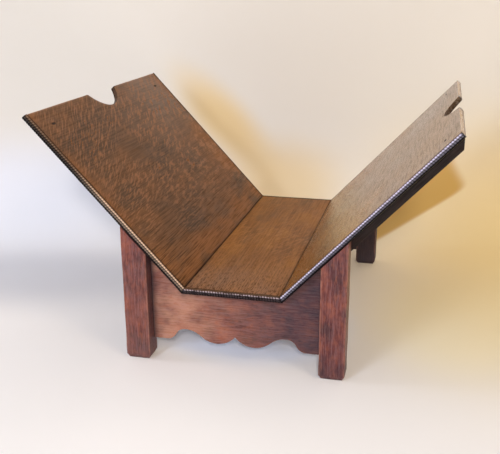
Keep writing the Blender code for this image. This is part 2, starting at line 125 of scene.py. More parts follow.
# How finely the surfaces are laid out, in metres, and where rings and lines lie close together
BORDER_OFFSETS = np.array([0, .00008, .0002, .0004, .0007, .001, .0014, .002, .0032, .0055, .009])
BOARD_SPACING = 0.0065
NOTCH_SPACING = 0.0016
APRON_SPACING = 0.0014
FOOT_RINGS = [0, .0003, .0009, .0025, .0045, .0062, .007, .0078, .0095, .013]
LEG_RING_SHARES = np.linspace(0.018, 1, 22)[1:]
LEG_FLAT_LINES = [0.0012, 0.003, 0.006]
SCREW_ROWS = np.array([-1, -.97, -.8, -.5, -.22, -.126, -.124, .124, .126, .22, .5, .8, .97, 1])
SCREW_COLUMNS = np.array([-1, -.97, -.7, -.35, 0, .35, .7, .97, 1])
SCREW_FLAT_SHARE = 0.12
ARRIS_STEPS = 5
NOSE_STEPS = 14
NAIL_STEPS = 20
RINGS_PER_NICK = 8
SHARP_EDGE = math.radians(26)

# How worn each arris is, as the radius of its rounding in metres, and how that radius wanders
END_ROUND = 0.0013
SEAM_ROUND = 0.0006
MOULDED_END_ROUND = 0.0005
APRON_ROUND = 0.0008
LEG_ROUND = 0.001
SOLE_ROUND = 0.0008
ROUND_WANDER = 0.3
ROUND_WANDER_SIZE = 0.045
ROUND_LIMITS = (0.4, 1.8)
DROP_LIMIT_SHARE = 0.35
# How deep hand planing left each face hollow, how far apart the hollows lie, and the dents in corners
BOARD_HOLLOW = 0.00018
APRON_HOLLOW = 0.00025
PLANING_SIZE = 0.07
LEG_HOLLOW_SIZE = 0.05
LEG_DENT = 0.0002
LEG_DENT_SIZE = 0.022

# How each moulding's crowns carry a painted highlight over partly worn wood: the bright line's place round
# the nose and its width, in degrees, the share of the fainter painted line below, and how sharply and how
# brightly its crowns are picked out, each first low on the slope and then high on it
MOULDING_HIGHLIGHTS = {"left": (19, 16, 0.28, (0.5, 4), (1, 0.25)), "centre": (40, 11, 0.08, (2.5, 2.5), (1, 1)),
          "right": (43, 17, 0.2, (1, 1), (1, 1))}
BELOW_AT, BELOW_BAND = math.radians(50), 0.2
# Between these shares of a moulding's length the low values turn into the high ones
CROWN_CHANGE = (0.52, 0.72)
# How black the moulding is stained on its back and flat, and where its nose starts
BACK_STAIN = [1, 1, 1, 0.8, 0.3]
NOSE_STAIN = 0.2

# How far wear, dirt, the notch's darkening and handling reach in from an edge, in metres
BOARD_RUB, FRAME_RUB = 0.0013, 0.0014
SEAM_DIRT, FRAME_DIRT, BITE_DARKENING = 0.0015, 0.006, 0.002
BOARD_HANDLED, APRON_HANDLED, LEG_HANDLED = 0.016, 0.014, 0.006
# How much of a board's edge still shows the saw, kept low so that the top ends stay light, partly as
# painted light where they catch the lamps
SAWN_EDGE = 0.25

# Soft blots, each its middle and its reach in metres: where ray flecks show, where the grain is open,
# where the stain is paler (on the slopes as a painted sheen, on the apron partly faded stain and partly
# painted light) and where hands have browned the wax
SLOPE_FIGURED = (0.23, 0.17)
SLOPE_OPEN = (0.04, 0.08)
SLOPE_LOW, SLOPE_FRONT = (0, 0.2), 0.12
SLOPE_SHEEN = ((0.31, 0.12), (0.18, 0.15))
SLOPE_HANDLED_LOW = (0, 0.065)
SLOPE_HANDLED_REAR = ((0.13, 0.09), (BOARD_DEPTH / 2, 0.08))
SEAM_SPREAD, SEAM_FRONT = 0.004, 0.14
CENTRE_FIGURED = (-0.02, 0.12)
CENTRE_FRONT = 0.11
APRON_FADE_AND_LIGHT = (-0.085, 0.04)
# Painted shade over the right end of each apron: where it starts, how quickly it comes in, and how deep it is
APRON_SHADE_FROM, APRON_SHADE_OVER, APRON_SHADE = 0.04, 0.02, 0.62

# How the ray flecks lie: a slope's bend as they lean over, and the centre board's slant
RAYS_STRAIGHT_AT = 0.08
RAYS_LEAN = {"left": -3, "right": 1.5}
CENTRE_RAYS_SLANT = -0.4
# How far the stain has faded on each leg and how much painted shade darkens the whole leg, most on the
# rear right one, and the painted shade on its face that looks in under the stand
LEG_LOOKS = {"front_left": (0.12, 0), "front_right": (0, 0.04), "rear_left": (0.2, 0.2), "rear_right": (0, 1)}
INNER_SHADE = 0.5
# How high up the legs the floor's dirt reaches, and how strong it is
FOOT_DIRT_TALL = 0.036
FOOT_DIRT = 0.42
MARKS = ("wear_and_highlight", "dirt_and_shade", "handled", "sawn", "figured", "open_grain", "fade_and_sheen")


def ripple(across, along, size, seed, waves=7):
    """Smooth unevenness, mostly within -1 to 1.

    It is the sum of sine waves near one size, each turned its own way, over the root of their number.
    """
    draw = np.random.default_rng(seed)
    total = 0
    for _ in range(waves):
        angle, phase = draw.uniform(0, 2 * np.pi, 2)
        length = size * draw.uniform(0.6, 1.5)
        total = total + np.sin(2 * np.pi * (across * np.cos(angle) + along * np.sin(angle)) / length + phase)
    return total / math.sqrt(waves)


def blot(value, middle, reach, power=2):
    """A soft blot of 1 at its middle: exp(-((v - m) / r)^p)."""
    return np.exp(-((value - middle) / reach) ** power)


def crowded(start, finish, spacing):
    """Lines from start to finish, close together at both ends and evenly spaced between."""
    first, last = start + BORDER_OFFSETS, finish - BORDER_OFFSETS[::-1]
    steps = max(2, round((last[0] - first[-1]) / spacing))
    return np.concatenate([first, np.linspace(first[-1], last[0], steps + 1)[1:-1], last])


def quarter_round(distance, radius):
    """How far a face has dropped at a distance in from an arris: r - sqrt(r^2 - (r - d)^2)."""
    inside = np.clip(radius - distance, 0, radius)
    return radius - np.sqrt(radius ** 2 - inside ** 2)


def stacked(x, y, z):
    """Points from three coordinates, each a number or an array, one point to a row."""
    return np.stack(np.broadcast_arrays(x, y, z), axis=-1).reshape(-1, 3)


def turned(radius, angle, height):
    """Points at a radius and an angle round an upright line."""
    return stacked(radius * np.cos(angle), radius * np.sin(angle), height)


def grid_quads(rows, columns):
    """Quads between neighbouring rows and columns of points laid out row by row."""
    corner = (np.arange(rows - 1)[:, None] * columns + np.arange(columns - 1)).reshape(-1, 1)
    return corner + np.array([0, columns, columns + 1, 1])


def grid_rim(number):
    """The point numbers once round a grid's border."""
    return np.concatenate([number[0], number[1:, -1], number[-1, -2::-1], number[-2:0:-1, 0]])


def loop_quads(first, second):
    """Quads between closed loops of point numbers, each with the loop beside it."""
    corners = [first, np.roll(first, -1, -1), np.roll(second, -1, -1), second]
    return np.stack(corners, axis=-1).reshape(-1, 4)


def tube_faces(rows, columns):
    """Quads between the rings of a tube, and a cap on each of its ends."""
    number = np.arange(rows * columns).reshape(rows, columns)
    return [loop_quads(number[:-1], number[1:]), number[0][None, ::-1], number[-1][None]]


def volume(points, faces):
    """Six times the volume under a set of faces, each split into triangles from its first corner."""
    total = 0
    for corner in range(1, faces.shape[1] - 1):
        a, b, c = (points[faces[:, index]] for index in (0, corner, corner + 1))
        total += np.einsum("ij,ij->", a, np.cross(b, c))
    return total


def new_object(name, data):
    made = bpy.data.objects.new(name, data)
    bpy.context.scene.collection.objects.link(made)
    return made


def new_surface(name, points, faces, material):
    mesh = bpy.data.meshes.new(name)
    mesh.from_pydata(points, [], faces)
    mesh.shade_smooth()
    mesh.materials.append(material)
    return new_object(name, mesh)


def make_piece(node, points, faces, material, plank, marks=None, rays=None):
    """A closed piece that stands for a CAD node, turned outwards, with its finish and its marks.

    plank holds each point's place in the plank that the piece was cut from: across the grain, along
    it and through it. rays is the same, bent to the way that the ray flecks run. The marks say where
    the piece is worn and where it carries a painted highlight, where it is dirty and where painted shade
    darkens it, where it is handled, sawn, figured or open-grained, and where it is faded and where it
    carries painted light.
    """
    if sum(volume(points, part) for part in faces) < 0:
        faces = [part[:, ::-1] for part in faces]
    faces = [corners for part in faces for corners in part.tolist()]
    piece = new_surface(f"dressed_{node}", points, faces, material)
    piece.data.set_sharp_from_angle(angle=SHARP_EDGE)
    for name, places in (("plank", plank), ("rays", plank if rays is None else rays)):
        layer = piece.data.attributes.new(name, "FLOAT_VECTOR", "POINT")
        layer.data.foreach_set("vector", places.astype(np.float32).ravel())
    everywhere = np.ones(len(points))
    for mark, values in {"figured": everywhere, "open_grain": everywhere, **(marks or {})}.items():
        layer = piece.data.attributes.new(mark, "FLOAT", "POINT")
        layer.data.foreach_set("value", np.clip(values, 0, 1).astype(np.float32).ravel())
    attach(piece, "root")
    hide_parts(node)


def in_plank(across, along, through, cut_from=(0, 0, 0)):
    """Each point's place in its plank, moved to the part of the plank that the piece was cut from."""
    return stacked(across, along, through) + np.array(cut_from)


def on_board(side, along, across, out):
    """Points of a board: across runs to the rear and out square to its face.

    Along runs up from the seam on a slope, whose side is -1 or 1, and to the right on the flat board.
    """
    if not side:
        return stacked(along, across, TROUGH_HEIGHT + out)
    x = side * (CENTRE_WIDTH / 2 + along * math.cos(SLOPE_ANGLE) - out * math.sin(SLOPE_ANGLE))
    z = TROUGH_HEIGHT + along * math.sin(SLOPE_ANGLE) + out * math.cos(SLOPE_ANGLE)
    return stacked(x, across, z)


# Boards and aprons

def slab(across, low, high, spacing, thickness, rounds, leans, hollow, seed):
    """A board between two shaped edges: along = low + s (high - low), for a share s from 0 to 1.

    low and high give the edges' places at each across line. Near each border the faces drop by a
    quarter round, whose radius wanders as wear does. leans shift the two edges by their slant times
    the depth, for a mitre. hollow is the depth of the plane's ripples on the upper face. Two loops of
    points run round the sawn edge. Returns along, across and out for every point, the quads, the
    distance in from each border, and how much each point still shows the saw.
    """
    reach = float(np.median(high - low))
    share = (crowded(0, reach, spacing) / reach)[:, None]
    along = low + share * (high - low)
    tilt = [1 / np.sqrt(1 + np.gradient(edge, across) ** 2) for edge in (low, high)]
    wide = np.broadcast_to(across, along.shape)
    borders = np.stack([(along - low) * tilt[0], (high - along) * tilt[1],
                        wide - across[0], across[-1] - wide])
    wander = np.clip(1 + ROUND_WANDER * ripple(along, wide, ROUND_WANDER_SIZE, seed), *ROUND_LIMITS)
    drop = sum(quarter_round(distance, radius * wander) ** 2
               for distance, radius in zip(borders, rounds)) ** 0.5
    drop = np.minimum(drop, thickness * DROP_LIMIT_SHARE)
    planed = hollow * (1 + ripple(along, wide, PLANING_SIZE, seed + 1)) / 2
    lean = leans[0] * (1 - share) + leans[1] * share + 0 * wide
    count = along.size
    number = np.arange(count)
    rim = grid_rim(number.reshape(along.shape))
    loops = 2 * count + np.arange(2 * len(rim)).reshape(2, -1)
    every = np.concatenate([number, number, rim, rim])
    out = np.concatenate([(-drop - planed).ravel(), (drop - thickness).ravel(),
                          np.repeat([-thickness * 0.4, -thickness * 0.6], len(rim))])
    top = grid_quads(*along.shape)
    quads = [top, top[:, ::-1] + count, loop_quads(rim, loops[0]), loop_quads(loops[0], loops[1]),
             loop_quads(loops[1], rim + count)]
    along = along.ravel()[every] + out * lean.ravel()[every]
    sawn = np.repeat([0, 1, SAWN_EDGE], [count, count, 2 * len(rim)])
    return along, wide.ravel()[every], out, quads, borders.reshape(4, -1)[:, every], sawn


def notched_end(across):
    """The top end of a slope: straight, with a round bite of the notch's radius and eased corners.

    Inside the bite the edge is centre - sqrt(R^2 - y^2); each corner is a small circle that touches
    both the bite and the straight end.
    """
    centre = SLOPE_LENGTH - NOTCH_REACH + NOTCH_RADIUS
    corner_at = SLOPE_LENGTH - NOTCH_CORNER_RADIUS
    reach = NOTCH_RADIUS + NOTCH_CORNER_RADIUS
    corner_out = math.sqrt(reach ** 2 - (centre - corner_at) ** 2)
    touch = corner_out * NOTCH_RADIUS / reach
    out = np.abs(across)
    bite = centre - np.sqrt(np.maximum(NOTCH_RADIUS ** 2 - out ** 2, 0))
    corner = corner_at + np.sqrt(np.maximum(NOTCH_CORNER_RADIUS ** 2 - (out - corner_out) ** 2, 0))
    return np.where(out < touch, bite, np.where(out < corner_out, corner, SLOPE_LENGTH))


def board_marks(borders, sawn, bare, closed):
    """Wear along the bare borders, and dirt and a handled zone along those that another piece closes."""
    from_bare, from_closed = (borders[kind].min(axis=0, initial=np.inf) for kind in (bare, closed))
    return {"wear_and_highlight": np.exp(-from_bare / BOARD_RUB) * (1 - sawn), "sawn": sawn,
            "dirt_and_shade": np.exp(-from_closed / SEAM_DIRT), "handled": np.exp(-from_closed / BOARD_HANDLED)}


def make_sloping_board(side_name, material):
    """A thin board with a mitred seam edge, ends under the mouldings and a notched top end.

    Its ray flecks follow the curves along - a = c exp(k across), so they lean over towards the top end.
    """
    half = BOARD_DEPTH / 2
    mouth = NOTCH_RADIUS + NOTCH_CORNER_RADIUS + NOTCH_SPACING
    coarse = crowded(-half, half, BOARD_SPACING)
    fine = np.linspace(-mouth, mouth, round(2 * mouth / NOTCH_SPACING))
    across = np.concatenate([coarse[coarse < -mouth], fine, coarse[coarse > mouth]])
    low = np.full(across.shape, MITRE_GAP)
    rounds = (SEAM_ROUND, END_ROUND, MOULDED_END_ROUND, MOULDED_END_ROUND)
    side = SIDES[side_name]
    along, wide, out, quads, borders, sawn = slab(
        across, low, notched_end(across), BOARD_SPACING, BOARD_THICKNESS, rounds, (MITRE_SLANT, 0),
        BOARD_HOLLOW, SEEDS["slope"] + side)
    marks = board_marks(borders, sawn, [1], [0, 2, 3])
    marks["figured"] = blot(along, *SLOPE_FIGURED, power=4)
    low_front = blot(along, *SLOPE_LOW) * np.exp(-(wide + half) / SLOPE_FRONT)
    marks["open_grain"] = 0.1 + 0.5 * blot(along, *SLOPE_OPEN) + 0.4 * low_front
    # A painted sheen towards the top rear, paler and greyer where the board would reflect the wall
    marks["fade_and_sheen"] = blot(along, *SLOPE_SHEEN[0]) * blot(wide, *SLOPE_SHEEN[1])
    marks["handled"] += blot(along, *SLOPE_HANDLED_LOW)
    marks["handled"] += 1.4 * blot(along, *SLOPE_HANDLED_REAR[0]) * blot(wide, *SLOPE_HANDLED_REAR[1])
    # The notch's face is darkened and left unworn
    in_bite = (np.abs(wide) < mouth) * blot(borders[1], 0, BITE_DARKENING)
    marks["wear_and_highlight"] *= 1 - in_bite
    # A darker band along the seam, widest towards the front end
    marks["dirt_and_shade"] += 0.6 * np.exp(-along / SEAM_SPREAD - (wide + half) / SEAM_FRONT)
    marks["dirt_and_shade"] = np.maximum(marks["dirt_and_shade"], 0.8 * in_bite ** 5)
    bent = (along - RAYS_STRAIGHT_AT) * np.exp(RAYS_LEAN[side_name] * wide)
    make_piece(f"{side_name}_board", on_board(side, along, wide, out), quads, material,
               in_plank(along, wide, out), marks, in_plank(bent, wide, out))


def make_centre_board(material):
    """The flat board, wider below than above because both its long edges are mitred."""
    half = BOARD_DEPTH / 2
    across = crowded(-half, half, BOARD_SPACING)
    edge = np.full(across.shape, CENTRE_WIDTH / 2 - MITRE_GAP)
    rounds = (SEAM_ROUND, SEAM_ROUND, MOULDED_END_ROUND, MOULDED_END_ROUND)
    along, wide, out, quads, borders, sawn = slab(
        across, -edge, edge, BOARD_SPACING, BOARD_THICKNESS, rounds, (MITRE_SLANT, -MITRE_SLANT),
        BOARD_HOLLOW, SEEDS["centre"])
    marks = board_marks(borders, sawn, [], [0, 1, 2, 3])
    marks["figured"] = 0.3 + 0.5 * blot(wide, *CENTRE_FIGURED)
    marks["fade_and_sheen"] = 0.9 * blot(wide, -half, CENTRE_FRONT)
    marks["open_grain"] = 0.05 + np.exp(-(wide + half) / CENTRE_FRONT)
    bent = along + CENTRE_RAYS_SLANT * wide
    make_piece("centre_board", on_board(0, along, wide, out), quads, material,
               in_plank(along, wide, out), marks, in_plank(bent, wide, out))


def ogee(out, start, finish):
    """Height of an ogee at a distance out: two equal arcs, level at start and at finish."""
    width, rise = abs(finish[0] - start[0]), finish[1] - start[1]
    radius = (width ** 2 + rise ** 2) / (4 * abs(rise))
    nearer = np.minimum(np.abs(out - start[0]), np.abs(out - finish[0]))
    sag = np.copysign(radius - np.sqrt(np.maximum(radius ** 2 - nearer ** 2, 0)), rise)
    return np.where(np.abs(out - start[0]) < width / 2, start[1] + sag, finish[1] - sag)


def bow_edge(x):
    """The apron's lower edge: flat by the legs, an ogee up to an arch, one down to a lobe, and the cusp."""
    out = np.abs(x)
    flat = np.full(out.shape, APRON_FOOT_HEIGHT)
    rising = ogee(out, (APRON_FLAT_OUT, APRON_FOOT_HEIGHT), (APRON_ARCH_OUT, APRON_ARCH_HEIGHT))
    falling = ogee(out, (APRON_ARCH_OUT, APRON_ARCH_HEIGHT), (APRON_LOBE_OUT, APRON_FOOT_HEIGHT))
    cusp_rise = APRON_CUSP_HEIGHT - APRON_FOOT_HEIGHT
    radius = (APRON_LOBE_OUT ** 2 + cusp_rise ** 2) / (2 * cusp_rise)
    lobe = APRON_FOOT_HEIGHT + quarter_round(radius - APRON_LOBE_OUT + out, radius)
    return np.select([out < APRON_LOBE_OUT, out < APRON_ARCH_OUT, out < APRON_FLAT_OUT],
                     [lobe, falling, rising], flat)


def under_slope(x):
    """Height of the boards' underside, level under the flat board and rising under each slope."""
    rise = (np.abs(x) - CENTRE_WIDTH / 2) * math.tan(SLOPE_ANGLE)
    slope = TROUGH_HEIGHT + rise - CRADLE_TOP / math.cos(SLOPE_ANGLE)
    return np.maximum(slope, TROUGH_HEIGHT - CRADLE_TOP)


def make_apron(end_name, material):
    """A thin board between two legs, its top cut to the trough and its lower edge to a cupid's bow."""
    end_out = LEG_INNER - GAP
    corner = CENTRE_WIDTH / 2 + CRADLE_TOP * MITRE_SLANT
    turns_at = (-APRON_FLAT_OUT, -corner, 0, corner, APRON_FLAT_OUT)
    across = np.unique(np.concatenate([crowded(-end_out, end_out, APRON_SPACING), turns_at]).round(6))
    end = ENDS[end_name]
    along, wide, out, quads, borders, sawn = slab(
        across, bow_edge(across), under_slope(across), APRON_SPACING * 3, APRON_THICKNESS,
        (APRON_ROUND, GAP, GAP, GAP), (0, 0), APRON_HOLLOW, SEEDS["apron"] + end)
    # Painted shade, deepening towards the right end
    painted_shade = APRON_SHADE / (1 + np.exp(-(wide - APRON_SHADE_FROM) / APRON_SHADE_OVER))
    marks = {"wear_and_highlight": np.exp(-borders[0] / FRAME_RUB) * (1 - sawn),
             "dirt_and_shade": np.maximum(np.exp(-borders[1:].min(axis=0) / FRAME_DIRT), painted_shade),
             "handled": np.exp(-borders[0] / APRON_HANDLED),
             # Paler to the left: partly faded stain, partly painted light from the front left
             "fade_and_sheen": 0.36 - 0.5 * wide / end_out + 0.5 * blot(wide, *APRON_FADE_AND_LIGHT)}
    make_piece(f"{end_name}_apron", stacked(wide, end * (APRON_FRONT + out), along), quads, material,
               in_plank(along, wide, out, (0.3 * end, 0, 0)), marks)


# Legs

def leg_ring():
    """Once round a leg as flats and quarter-round corners: the core points and their outward ways."""
    half_x, half_y = LEG_WIDTH / 2 - LEG_ROUND, LEG_DEPTH / 2 - LEG_ROUND
    cores, ways = [], []
    corners = np.array([(1, -1), (1, 1), (-1, 1), (-1, -1)]) * (half_x, half_y)
    for turn, (start, finish) in enumerate(zip(corners, np.roll(corners, -1, axis=0))):
        angles = math.pi / 2 * (turn - 1 + np.arange(ARRIS_STEPS + 1) / ARRIS_STEPS)
        ways.append(np.stack([np.cos(angles), np.sin(angles)], axis=1))
        cores.append(np.tile(start, (ARRIS_STEPS + 1, 1)))
        length = np.linalg.norm(finish - start)
        shares = np.array([*LEG_FLAT_LINES, length / 3, length / 2])
        shares = np.concatenate([shares, length - shares[-2::-1]]) / length
        cores.append(start + shares[:, None] * (finish - start))
        ways.append(np.tile(ways[-1][-1], (len(shares), 1)))
    return np.concatenate(cores), np.concatenate(ways)


def make_leg(end_name, side_name, material):
    """A square leg: a rounded square carried up from the foot to the slope.

    The ring shrinks towards the sole for the chamfer, and each point's height is h + (H(x) - M) (h / M)^3,
    with H the slope's underside and M its mean, so the rings lean over only near the top.
    """
    side, end = SIDES[side_name], ENDS[end_name]
    cores, ways = leg_ring()
    mean_height = under_slope(LEG_MIDDLE) - LEG_TOP_GAP
    heights = np.concatenate([FOOT_RINGS, LEG_RING_SHARES * mean_height])[:, None]
    chamfer = FOOT_CHAMFER_WIDE * np.clip(1 - heights / FOOT_CHAMFER_TALL, 0, 1)
    chamfer = chamfer + quarter_round(heights, SOLE_ROUND)
    ring = cores + LEG_ROUND * ways
    around = ring[:, 0] * 3 + ring[:, 1]
    seed = SEEDS["leg"] + 2 * side + end
    uneven = BOARD_HOLLOW * (1 + ripple(around, heights, LEG_HOLLOW_SIZE, seed))
    corner = 1 - np.abs(np.abs(ways[:, 0]) - np.abs(ways[:, 1]))
    uneven = uneven + corner * LEG_DENT * (1 + ripple(ring[:, 0], heights, LEG_DENT_SIZE, seed + 7))
    shrink = 1 - chamfer[..., None] / np.array([LEG_WIDTH / 2, LEG_DEPTH / 2])
    flat = ring[None] * shrink - ways[None] * uneven[..., None]
    x = side * LEG_MIDDLE + flat[..., 0]
    y = end * (LEG_FRONT - LEG_DEPTH / 2) + flat[..., 1]
    z = heights + (under_slope(x) - mean_height) * (heights / mean_height) ** 3
    from_arris = np.abs(np.abs(cores) - np.abs(cores).max(axis=0)).max(axis=1)
    fade_and_sheen, darkening = LEG_LOOKS[f"{end_name}_{side_name}"]
    # Painted shade on the face that looks in under the stand, and over the whole of each shaded leg
    painted_shade = np.maximum(INNER_SHADE * (-side * ways[:, 0] > 0.9), darkening)
    dirt_tall = FOOT_DIRT_TALL * (1 + 0.25 * ripple(around, heights, 0.03, seed + 11))
    foot = np.maximum(0.8 * np.exp(-heights / FRAME_DIRT), FOOT_DIRT * blot(heights, 0, dirt_tall, power=4))
    marks = {"wear_and_highlight": np.broadcast_to(np.exp(-from_arris / FRAME_RUB), x.shape),
             "dirt_and_shade": np.maximum(foot, painted_shade),
             "handled": np.broadcast_to(np.exp(-from_arris / LEG_HANDLED), x.shape),
             "fade_and_sheen": fade_and_sheen * (1.6 - 1.2 * z / mean_height)}
    plank = in_plank(flat[..., 0], z, flat[..., 1], (0.2 * side, 0.5 * end, 0.35 * side * end))
    make_piece(f"{end_name}_{side_name}_leg", stacked(x, y, z), tube_faces(*x.shape), material,
               plank, marks)


# Rope mouldings

def rope_moulding(start, finish, start_slant, finish_slant, side_name):
    """A half-round nose nicked like a twisted cord, with its two ends on the mitres.

    Along the nose the radius is R - D (1 - |cos(pi t)|^0.4) sin(a)^0.6, where t counts nicks, a is the
    angle round the nose and D the nick's depth. Each nick leans over by one pitch from the top edge
    to the lower edge. Returns along, out from the board's end, height, faces and the marks.
    """
    nicks = int((finish - start - 2 * NICK_MARGIN) / NICK_PITCH)
    pitch = (finish - start - 2 * NICK_MARGIN) / nicks
    turns = np.linspace(0, nicks, nicks * RINGS_PER_NICK + 1)[:, None]
    crown = np.abs(np.cos(np.pi * turns)) ** 0.4
    angles = np.pi * np.linspace(0, 1, NOSE_STEPS + 1)
    radius = BOARD_THICKNESS / 2
    reach = np.full((len(turns) + 2, len(angles)), radius)
    reach[1:-1] -= NICK_DEPTH * (1 - crown) * np.sin(angles) ** 0.6
    out = np.hstack([np.tile(BACK_OUT, (len(reach), 1)), MOULDING_FLAT + reach * np.sin(angles)])
    height = np.hstack([np.tile(BACK_HEIGHT, (len(reach), 1)), reach * np.cos(angles) - radius])
    lean = np.concatenate([BACK_LEAN, angles / np.pi]) - 0.5
    along = np.vstack([start - start_slant * height[0], start + NICK_MARGIN + pitch * (turns + lean),
                       finish - finish_slant * height[-1]])
    # A painted highlight along the crowns, over partly worn wood, where a lamp's line would lie on the nose,
    # with a fainter painted line below it
    line_at, band, below, *picked_out = MOULDING_HIGHLIGHTS[side_name]
    from_line = angles - math.radians(line_at)
    facing = blot(from_line, 0, math.radians(band)) + below * blot(from_line, BELOW_AT, BELOW_BAND)
    power, wear_and_highlight = (np.interp(turns / nicks, CROWN_CHANGE, values) for values in picked_out)
    crowns = np.zeros(along.shape)
    crowns[1:-1, len(BACK_OUT):] = wear_and_highlight * crown ** power * facing
    stain = np.concatenate([BACK_STAIN, np.minimum(NOSE_STAIN + angles, 1)])
    return along, out, height, tube_faces(*along.shape), {
        "wear_and_highlight": crowns, "dirt_and_shade": np.broadcast_to(stain, along.shape)}


def make_mouldings(finishes):
    half = CENTRE_WIDTH / 2 - MITRE_GAP
    level, sloping = (-half, half, -MITRE_SLANT, MITRE_SLANT), (MITRE_GAP, SLOPE_LENGTH, -MITRE_SLANT, 0)
    for end_name, end in ENDS.items():
        for side_name in ("centre", *SIDES):
            side = SIDES.get(side_name, 0)
            line = sloping if side else level
            along, out, height, faces, marks = rope_moulding(*line, side_name)
            across = end * (BOARD_DEPTH / 2 + GAP + out)
            make_piece(f"{end_name}_{side_name}_moulding", on_board(side, along, across, height), faces,
                       finishes[f"{side_name}_mouldings"],
                       in_plank(out, along, height, (0.4 * end, 0.7 * side, 0)), marks)


# Screws and nails

def slotted_screw(length):
    """A countersunk screw: a disc with a slot across it, then rings down to the point.

    The disc is a square grid pressed to a circle, x = p sqrt(R^2 - y^2), so the slot's walls run straight.
    """
    radius = SCREW_HEAD_RADIUS
    y = np.repeat(SCREW_ROWS[:, None] * radius, len(SCREW_COLUMNS), axis=1)
    x = SCREW_COLUMNS * np.sqrt(np.maximum(radius ** 2 - y ** 2, (SCREW_FLAT_SHARE * radius) ** 2))
    in_slot = np.abs(y) < SLOT_SHARE * radius
    z = -quarter_round(radius - np.hypot(x, y), SCREW_HEAD_ROUND) - np.where(in_slot, SLOT_DEPTH, 0)
    rim = grid_rim(np.arange(y.size).reshape(y.shape))
    angle = np.arctan2(y.ravel()[rim], x.ravel()[rim])
    rings = [(radius, -SCREW_RIM_HEIGHT), (SCREW_SHANK_RADIUS, -SCREW_HEAD_HEIGHT - SCREW_NECK_HEIGHT),
             (SCREW_SHANK_RADIUS, -length + SCREW_TIP_LENGTH), (SCREW_TIP_RADIUS, -length)]
    reach, height = np.array(rings).T[..., None]
    points = np.concatenate([stacked(x, y, z), turned(reach, angle, height)])
    loops = np.vstack([rim, y.size + np.arange(len(rings) * len(rim)).reshape(len(rings), -1)])
    return points, [grid_quads(*y.shape), loop_quads(loops[:-1], loops[1:])[:, ::-1], loops[-1][None]]


def headed_nail():
    """A small cut nail turned about its own length, its head domed and struck out of true.

    Round the head the radius is r (1 + 0.06 cos(3 a + 0.7)), so it bulges a little in three places.
    """
    radius, height = np.array(NAIL_PROFILE).T[..., None]
    angle = np.linspace(0, 2 * np.pi, NAIL_STEPS, endpoint=False)
    radius = radius * (1 + 0.06 * np.cos(3 * angle + 0.7) * (height > NAIL_HEAD_HEIGHT))
    return turned(radius, angle, height), tube_faces(*radius.shape)


def square_to_board(side, along, across, out):
    """The place of a fastener that stands square to a board, as a matrix."""
    turn = Matrix.Rotation(-side * SLOPE_ANGLE, 4, "Y") @ Matrix.Rotation(math.pi * (side < 0), 4, "Z")
    return Matrix.Translation(on_board(side, along, across, out)[0]) @ turn


def make_fasteners(steel):
    """Each screw and nail in its place, turned about its own length so that no two slots line up."""
    turned_over = Matrix.Rotation(math.pi, 4, "X")
    turns = iter(np.random.default_rng(SEEDS["fasteners"]).uniform(0, math.pi, 24))
    board_screw, leg_screw = slotted_screw(BOARD_SCREW_LENGTH), slotted_screw(LEG_SCREW_LENGTH)
    nail = headed_nail()
    batten_height = float(under_slope(LEG_MIDDLE)) - BATTEN_DEPTH / 2 / math.cos(SLOPE_ANGLE)
    for end_name, end in ENDS.items():
        middle, back = end * BATTEN_MIDDLE, end * (BATTEN_FRONT - BATTEN_WIDTH)
        for side_name, side in SIDES.items():
            upward = [(f"slope_screw_{number}", side, share * SLOPE_LENGTH)
                      for number, share in enumerate(BOARD_SCREW_SHARES, 1)]
            upward.append(("bearer_screw", 0, side * BEARER_SCREW_OUT))
            placed = {}
            for name, board, along in upward:
                place = square_to_board(board, along, middle, -CRADLE_BOTTOM)
                placed[name] = board_screw, place @ turned_over
            place = Matrix.Translation((side * LEG_MIDDLE, back, batten_height))
            placed["leg_screw"] = leg_screw, place @ Matrix.Rotation(end * math.pi / 2, 4, "X")
            placed["nail"] = nail, square_to_board(side, SLOPE_LENGTH - NAIL_FROM_END, middle, NAIL_PROUD)
            for name, ((points, faces), place) in placed.items():
                seated = np.array(place @ Matrix.Rotation(next(turns), 4, "Z"))
                make_piece(f"{end_name}_{side_name}_{name}", points @ seated[:3, :3].T + seated[:3, 3],
                           faces, steel, points)


# Finishes

def linear(colour):
    """An sRGB hex colour as linear red, green, blue and alpha."""
    values = np.array([int(colour[index:index + 2], 16) for index in (1, 3, 5)]) / 255
    return (*np.where(values <= 0.04045, values / 12.92, ((values + 0.055) / 1.055) ** 2.4), 1)


def add(tree, kind, feeds=None, stops=None, output=0, **settings):
    """Add one node with its settings, feed its sockets values or other sockets, and hand back an output."""
    node = tree.nodes.new(f"ShaderNode{kind}")
    for name, value in settings.items():
        setattr(node, name, value)
    for name, value in (feeds or {}).items():
        if isinstance(value, bpy.types.NodeSocket):
            tree.links.new(value, node.inputs[name])
        else:
            node.inputs[name].default_value = value
    if stops:
        elements = node.color_ramp.elements
        while len(elements) < len(stops):
            elements.new(0.5)
        for element, (place, colour) in zip(elements, stops):
            element.position, element.color = place, linear(colour)
    return node.outputs[output] if node.outputs else node


def new_material(name):
    material = bpy.data.materials.new(name)
    material.use_nodes = True
    tree = material.node_tree
    tree.nodes.clear()
    return material, partial(add, tree)


